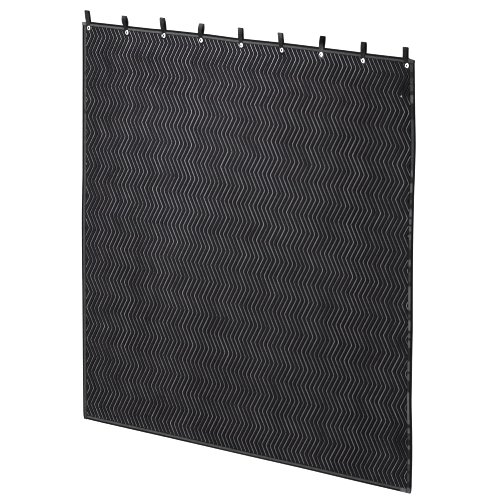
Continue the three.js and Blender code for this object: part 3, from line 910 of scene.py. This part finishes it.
def lofted(name, rings, material, uv_name, along, around):
    """A closed solid from rings of points, capped at its two ends, with its length and girth as a map"""
    count, size = rings.shape[:2]
    faces = wall(count, size, closed=False)
    faces.append(tuple(range(size))[::-1])
    faces.append(tuple(range((count - 1) * size, count * size)))
    points = rings.reshape(-1, 3)
    made = mesh_object(name, points, faces, material)
    corners = [
        (along[i + far], around[j + on])
        for i in range(count - 1) for j in range(size) for far, on in ((0, 0), (0, 1), (1, 1), (1, 0))
    ]
    corners += [(0, 0)] * (2 * size)
    layer = made.data.uv_layers.new(name=uv_name)
    layer.data.foreach_set("uv", np.array(corners, np.float32).ravel())
    volume = 0
    for face in faces:
        fan = points[list(face)]
        volume += np.sum(np.cross(fan[1:-1], fan[2:]) @ fan[0])
    if volume < 0:
        made.data.flip_normals()
    made.data.shade_smooth()
    return made


def edge_y(edge, z):
    if edge in ("top", "bottom"):
        return np.zeros_like(z)
    return hang(-HALF_WIDTH if edge == "left" else HALF_WIDTH, z)


def edge_places(edge, step):
    first, last = TAPE_ENDS[edge]
    even = np.linspace(first, last, max(2, round((last - first) / step)))
    named = [at * MILLIMETRE for at in EDGES[edge]["at"] if first < at * MILLIMETRE < last]
    near = [at for at in even[1:-1] if all(abs(at - other) > step / 4 for other in named)]
    return np.array(sorted([first, last, *near, *named]))


def edge_tape(edge):
    face = EDGES[edge]["face"]
    section = tape_section(face)
    places = edge_places(edge, TAPE_STEP[edge])
    ripple = sum(deep * np.sin(places * rate + start) for deep, rate, start in RIPPLES)
    rings = []
    for inset, y in section:
        share = np.clip(inset / face, 0, 1)
        x, z = edge_place(edge, places, inset + ripple * share)
        x, z = np.broadcast_arrays(x, z)
        rings.append(np.stack([x, edge_y(edge, z) + y, z], 1))
    rings = np.stack(rings, 1)
    section = np.array(section + section[:1])
    tape = lofted(f"edge_tape_{edge}_cloth", rings, BINDING, "tape", places, run_along(*section.T))
    middle, half = stripe_place(edge, places)
    insets = section[:-1, 0]
    store(tape, "stripe", ((insets - middle[:, None]) / half[:, None]).ravel())
    store(tape, "gleam", np.repeat(gleam(edge, places), len(insets)))
    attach(tape, "root")
    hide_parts(f"edge_tape_{edge}")
    return tape


tapes = [edge_tape(edge) for edge in EDGES]

# The tape's topstitch
# A fine zigzag of white thread through the tape and the cloth, on both faces.
# It holds the tape and lies along its stripe, and shows where the stripe catches the light.
ZIG_STEP = 0.0018
ZIG_WIDE = 0.0007
ZIG_HIGH = 0.0006
ZIG_REACH = 0.9  # share of the stripe's half width
ZIG_SHARE = 0.98
ZIG_RISE = 0.0001
ZIG_UNEVEN = 2 * STITCH_UNEVEN
TAPE_END_CLEAR = 0.004
TAPE_SIDE_CLEAR = 0.002
TOPSTITCH_DARK = (0.03, 0.03, 0.03)
TOPSTITCH_PALE = (0.60, 0.60, 0.60)

TOPSTITCH = thread_material("white topstitch thread", TOPSTITCH_DARK, TOPSTITCH_PALE)


def topstitch(edge, face, side, shape, chance):
    first, last = TAPE_ENDS[edge]
    places = np.arange(first + TAPE_END_CLEAR, last - TAPE_END_CLEAR, ZIG_STEP)
    middle, half = stripe_place(edge, places)
    room = np.minimum(middle, EDGES[edge]["face"] - middle) - TAPE_SIDE_CLEAR
    reach = np.minimum(half * ZIG_REACH, room)
    insets = middle + reach * np.where(np.arange(len(places)) % 2, 1, -1)
    x, z = np.broadcast_arrays(*edge_place(edge, places, insets))
    points = np.stack([x, edge_y(edge, z) + side * (TAPE_HALF + ZIG_RISE), z], 1)
    edges = np.stack([np.arange(len(points) - 1), np.arange(1, len(points))], 1)
    tones = gleam(edge, places)[1:] * (1 + ZIG_UNEVEN * chance.normal(size=len(edges)))
    return sew(
        f"topstitch_{edge}_{face}", points, edges, tones, side, shape,
        TOPSTITCH, ZIG_SHARE, ZIG_WIDE, ZIG_HIGH,
    )


for edge in EDGES:
    for face, side, shape in FACES:
        threads.append(topstitch(edge, face, side, shape, chance))

# The webbing loops
# Nine lengths of black polyester webbing, folded over the top edge so that each stands up as a loop.
# Both legs lie on the cloth's faces, where the eyelet clamps them.
STRAP_WIDE = 0.030
STRAP_THICK = 0.0015
STRAP_HALF = 0.00545  # from the cloth's middle to a leg's own
STRAP_EDGE = 0.0005
STRAP_DARK = (0.001, 0.001, 0.001)
STRAP_PALE = (0.16, 0.16, 0.165)
# Each loop: x at the cloth's edge and at its fold, how high it stands, how far it bows out, and how
# deep its legs run
LOOPS = [
    {"edge": -1.173, "fold": -1.184, "rise": 0.052, "bow": 0.0006, "tail": 0.053},
    {"edge": -0.879, "fold": -0.890, "rise": 0.046, "bow": 0.0040, "tail": 0.055},
    {"edge": -0.584, "fold": -0.596, "rise": 0.058, "bow": 0.0020, "tail": 0.047},
    {"edge": -0.304, "fold": -0.297, "rise": 0.051, "bow": 0.0030, "tail": 0.049},
    {"edge": -0.006, "fold": -0.009, "rise": 0.052, "bow": 0.0002, "tail": 0.052},
    {"edge": 0.287, "fold": 0.279, "rise": 0.050, "bow": -0.0006, "tail": 0.055},
    {"edge": 0.573, "fold": 0.580, "rise": 0.057, "bow": 0.0012, "tail": 0.049},
    {"edge": 0.863, "fold": 0.864, "rise": 0.051, "bow": 0.0012, "tail": 0.053},
    {"edge": 1.148, "fold": 1.148, "rise": 0.049, "bow": -0.0006, "tail": 0.055},
]
# How much each one's webbing shines at its foot, its middle and its fold
SHINES = [
    [0.55, 0.60, 0.45], [0.20, 0.20, 0.90], [0.10, 0.35, 0.85], [0.15, 0.30, 1.20], [0.33, 0.33, 0.80],
    [0.12, 0.40, 1.30], [2.20, 0.10, 0.05], [0.55, 0.25, 0.40], [0.45, 0.25, 0.40],
]
LEG_STEPS = 10
FOLD_STEPS = 14


def webbing_material():
    material, tree, shader = new_material("black webbing")
    place = node(tree, "ShaderNodeUVMap", uv_map="strap").outputs[0]
    weave = woven(tree, place, warp=450, weft=900, uneven=0.2)
    wear = ranged(tree, noise(tree, object_place(tree), scale=90, detail=4), 0.3, 0.7, 0.4, 1.6)
    tone = product(tree, wear, ranged(tree, weave["Hollow"], 0, 1, 1.2, 0.5), attribute(tree, "shine"))
    paint(tree, shader, maths(tree, "MULTIPLY", tone, 0.5, clamp=True), STRAP_DARK, STRAP_PALE)
    relieve(tree, shader, weave["Height"], strength=0.7, distance=0.0004)
    dry(shader, roughness=0.8, gloss=0.03)
    return material


WEBBING = webbing_material()


def strap_line(loop):
    """The strap's middle line in y and z, from its front end over the fold to its back end"""
    fold_middle = loop["rise"] - STRAP_THICK / 2 - STRAP_HALF
    legs = np.linspace(-loop["tail"], 0, LEG_STEPS)
    risen = np.linspace(0, 1, LEG_STEPS)[1:-1]
    y = np.concatenate([np.full(LEG_STEPS, STRAP_HALF), STRAP_HALF + loop["bow"] * np.sin(np.pi * risen)])
    z = np.concatenate([legs, risen * fold_middle])
    turns = np.linspace(0, np.pi, FOLD_STEPS)
    fold_y = -STRAP_HALF * np.cos(turns)
    fold_z = fold_middle + STRAP_HALF * np.sin(turns)
    return np.concatenate([-y, fold_y, y[::-1]]), np.concatenate([z, fold_z, z[::-1]])


def strap_loop(index):
    loop = LOOPS[index]
    y, z = strap_line(loop)
    heights = [-EYELET_DROP[index], 0, loop["rise"]]
    middle = np.interp(z, heights, [EYELET_X[index], loop["edge"], loop["fold"]])
    along = np.stack([np.gradient(y), np.gradient(z)], 1)
    along /= np.linalg.norm(along, axis=1)[:, None]
    wide, thick = STRAP_WIDE / 2, STRAP_THICK / 2
    quarter = [(wide, 0), (wide - STRAP_EDGE * 0.3, thick * 0.7), (wide - STRAP_EDGE, thick)]
    quarter += [(wide * 0.5, thick), (0, thick)]
    half = quarter + [(-across, out) for across, out in quarter[-2::-1]]
    section = half + [(across, -out) for across, out in half[-2:0:-1]]
    rings = np.stack([
        np.stack([middle + across, y - along[:, 1] * out, z + along[:, 0] * out], 1)
        for across, out in section
    ], 1)
    section = np.array(section + section[:1])
    name = f"webbing_loop_{index + 1}"
    strap = lofted(name, rings, WEBBING, "strap", run_along(y, z), run_along(*section.T))
    shine_at = [-EYELET_DROP[index], 0.4 * loop["rise"], 0.9 * loop["rise"]]
    shine = np.interp(z, shine_at, SHINES[index])
    store(strap, "shine", np.repeat(shine, len(section) - 1))
    cut(strap, hole_cutter(index), "DIFFERENCE")
    strap.data.shade_smooth()
    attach(strap, "root")
    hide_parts(f"loop_{index + 1}")
    return strap


straps = [strap_loop(index) for index in range(len(LOOPS))]

# The eyelets
# Bright plated eyelets, each pressed through strap, cloth and strap, with a rolled rim on both faces.
EYELET_SEAT = 0.0065  # from the cloth's middle to the rim's underside
EYELET_THICK = 0.0040  # the rim's
EYELET_BORE = 0.0050
EYELET_BARREL = 0.0059
EYELET_CREST = 0.0070
EYELET_RIM = 0.0120
EYELET_SKIRT = 0.0015  # the rim's underside starts this far in
EYELET_LIP = 0.0018
EYELET_STEPS = 48
DOME_STEPS = 6
LIP_STEPS = 4
BORE_SPARE = 0.0003
# Painted shade: the colour painted on the metal inside each bore
BORE_SHADE = (0.012, 0.012, 0.012)
PLATE_PALE = (1, 1, 0.99)


def plated_material():
    material, tree, shader = new_material("bright plated metal")
    smudge = noise(tree, object_place(tree), scale=300, detail=4)
    # Painted shade: the metal inside the bore is painted dark
    outside = maths(tree, "SUBTRACT", 1, attribute(tree, "bore"), clamp=True)
    bright = product(tree, ranged(tree, smudge, 0, 1, 0.78, 0.97), outside)
    paint(tree, shader, bright, BORE_SHADE, PLATE_PALE)
    tree.links.new(ranged(tree, smudge, 0.3, 0.7, 0.16, 0.34), shader.inputs["Roughness"])
    shader.inputs["Metallic"].default_value = 1
    relieve(tree, shader, smudge, strength=0.15, distance=0.0001)
    return material


PLATED = plated_material()


def eyelet_profile():
    """Radius and y round the ring's wall, from the middle of the bore over the front to the back"""
    out = EYELET_SEAT + EYELET_THICK
    face = [(EYELET_BORE, 0), (EYELET_BORE, EYELET_SEAT)]
    for step in range(LIP_STEPS + 1):
        turn = math.pi / 2 * step / LIP_STEPS
        r = EYELET_CREST - (EYELET_CREST - EYELET_BORE) * math.cos(turn)
        face.append((r, out - EYELET_LIP * (1 - math.sin(turn))))
    for step in range(1, DOME_STEPS + 1):
        turn = math.pi / 2 * step / DOME_STEPS
        r = EYELET_CREST + (EYELET_RIM - EYELET_CREST) * math.sin(turn)
        face.append((r, EYELET_SEAT + EYELET_THICK * math.cos(turn)))
    face += [(EYELET_RIM - EYELET_SKIRT, EYELET_SEAT), (EYELET_BARREL, EYELET_SEAT), (EYELET_BARREL, 0)]
    return [(r, -y) for r, y in face] + [(r, y) for r, y in face[-2:0:-1]]


def eyelet(index):
    profile = eyelet_profile()
    points = []
    for step in range(EYELET_STEPS):
        turn = 2 * math.pi * step / EYELET_STEPS
        points += [
            (EYELET_X[index] + r * math.cos(turn), y, r * math.sin(turn) - EYELET_DROP[index])
            for r, y in profile
        ]
    faces = wall(EYELET_STEPS, len(profile), closed=True)
    ring = mesh_object(f"eyelet_ring_{index + 1}", points, faces, PLATED)
    bore = EYELET_BORE + BORE_SPARE
    lip = EYELET_SEAT + EYELET_THICK - EYELET_LIP + BORE_SPARE
    # Marks the inside of the bore, which the finish paints with shade
    store(ring, "bore", [r < bore and abs(y) < lip for r, y in profile] * EYELET_STEPS)
    ring.data.shade_smooth()
    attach(ring, "root")
    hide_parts(f"eyelet_{index + 1}")
    return ring


eyelets = [eyelet(index) for index in range(len(EYELET_X))]

# The floor and the light
# A plain white floor under the hem, a high sun that keeps it white, and one broad soft light close
# in front of the cloth's upper middle, which leaves the lower right corner darker.
FLOOR_DROP = 3.40
FLOOR_HALF = 150
FLOOR_COLOURS = ((0.93, 0.93, 0.93), (0.95, 0.95, 0.95))
SKY_STRENGTH = 0.08  # how much of the white surroundings falls on things
SUN_PLACE = (0, 0, 5)
SUN_STRENGTH = 3.45
SUN_SPREAD = math.radians(20)
LAMP_PLACE = (-0.18, -1.24, -0.39)
LAMP_TILT = (math.radians(90), 0, 0)
LAMP_SIZE = 0.8
LAMP_POWER = 14.3
LAMP_COLOUR = (1.0, 0.985, 1.05)


def studio():
    corners = [(-1, -1), (1, -1), (1, 1), (-1, 1)]
    points = [(FLOOR_HALF * x, FLOOR_HALF * y, -FLOOR_DROP) for x, y in corners]
    material, tree, shader = new_material("white floor")
    paint(tree, shader, noise(tree, object_place(tree), scale=2, detail=2), *FLOOR_COLOURS)
    shader.inputs["Roughness"].default_value = 0.9
    floor = mesh_object("floor", points, [(0, 1, 2, 3)], material)

    world = bpy.data.worlds.new("studio")
    world.use_nodes = True
    tree = world.node_tree
    diffuse = tree.nodes.new("ShaderNodeLightPath").outputs["Is Diffuse Ray"]
    strength = ranged(tree, diffuse, 0, 1, 1.0, SKY_STRENGTH)
    tree.links.new(strength, tree.nodes["Background"].inputs["Strength"])
    tree.nodes["Background"].inputs["Color"].default_value = (1, 1, 1, 1)
    scene.world = world

    sun = bpy.data.lights.new("high_sun", "SUN")
    sun.energy = SUN_STRENGTH
    sun.angle = SUN_SPREAD
    add("high_sun", sun).location = SUN_PLACE

    soft = bpy.data.lights.new("soft_light", "AREA")
    soft.shape = "RECTANGLE"
    soft.size = LAMP_SIZE
    soft.size_y = LAMP_SIZE
    soft.energy = LAMP_POWER
    soft.color = LAMP_COLOUR
    lamp = add("soft_light", soft)
    lamp.location = LAMP_PLACE
    lamp.rotation_euler = LAMP_TILT
    lamp.visible_camera = False


studio()
scene.view_settings.view_transform = "Standard"
scene.cycles.filter_width = 1.0
